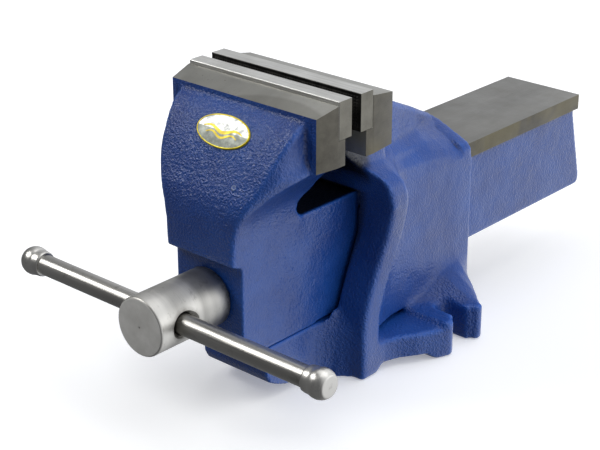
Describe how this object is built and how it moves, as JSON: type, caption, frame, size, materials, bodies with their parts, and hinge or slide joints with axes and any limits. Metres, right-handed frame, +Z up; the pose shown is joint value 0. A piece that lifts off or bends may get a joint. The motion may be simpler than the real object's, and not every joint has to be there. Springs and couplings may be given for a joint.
{
  "type": "bench vise",
  "caption": "Cast bench vise with a screw-driven sliding jaw, steel jaw plates, a tommy bar and a base with open bolt slots.",
  "frame": {"origin": "middle of the base's underside, on the vise's centre plane", "axes": "+X along the jaws to the right of someone who faces the handle, +Y along the screw from the handle to the slide's rear end, +Z up"},
  "size_m": [0.3116, 0.528, 0.245],
  "materials": {
    "casting": "blue enamel over cast iron, slightly orange-peeled",
    "jaw_steel": "ground and serrated",
    "turned_steel": "turned and polished",
    "black_steel": "oiled dark steel",
    "bronze": "machined",
    "badge": "printed foil"
  },
  "bodies": {
    "body": {"fixed_body": "casting", "fixed_jaw_plate": "jaw_steel", "fixed_plate_screw_left": "black_steel", "fixed_plate_screw_right": "black_steel", "main_nut": "bronze", "nut_bolt": "black_steel", "nut_bolt_washer": "black_steel"},
    "slide": {"sliding_jaw": "casting", "sliding_jaw_plate": "jaw_steel", "sliding_plate_screw_left": "black_steel", "sliding_plate_screw_right": "black_steel", "maker_badge": "badge", "spring_washer": "black_steel"},
    "spindle": {"main_screw": "turned_steel", "screw_head": "turned_steel", "head_pin": "black_steel", "thrust_washer": "black_steel", "take_up_spring": "black_steel", "retaining_collar": "turned_steel", "collar_pin": "black_steel"},
    "handle": {"tommy_bar": "turned_steel", "bar_knob_left": "turned_steel", "bar_knob_right": "turned_steel"}
  },
  "joints": [
    {"name": "jaw_slide", "type": "slide", "parent": "body", "child": "slide", "axis": [0, -1, 0], "range_m": [-0.00953, 0.1905]},
    {"name": "screw_turn", "type": "hinge", "parent": "slide", "child": "spindle", "pos_m": [0, -0.13, 0.0913], "axis": [0, -1, 0], "range_deg": [-540, 10800]},
    {"name": "bar_slide", "type": "slide", "parent": "spindle", "child": "handle", "axis": [1, 0, 0], "range_m": [-0.1157, 0.1094]}
  ],
  "couplings": [
    {"joint": "screw_turn", "follows": "jaw_slide", "rad_per_m": 989.48}
  ]
}
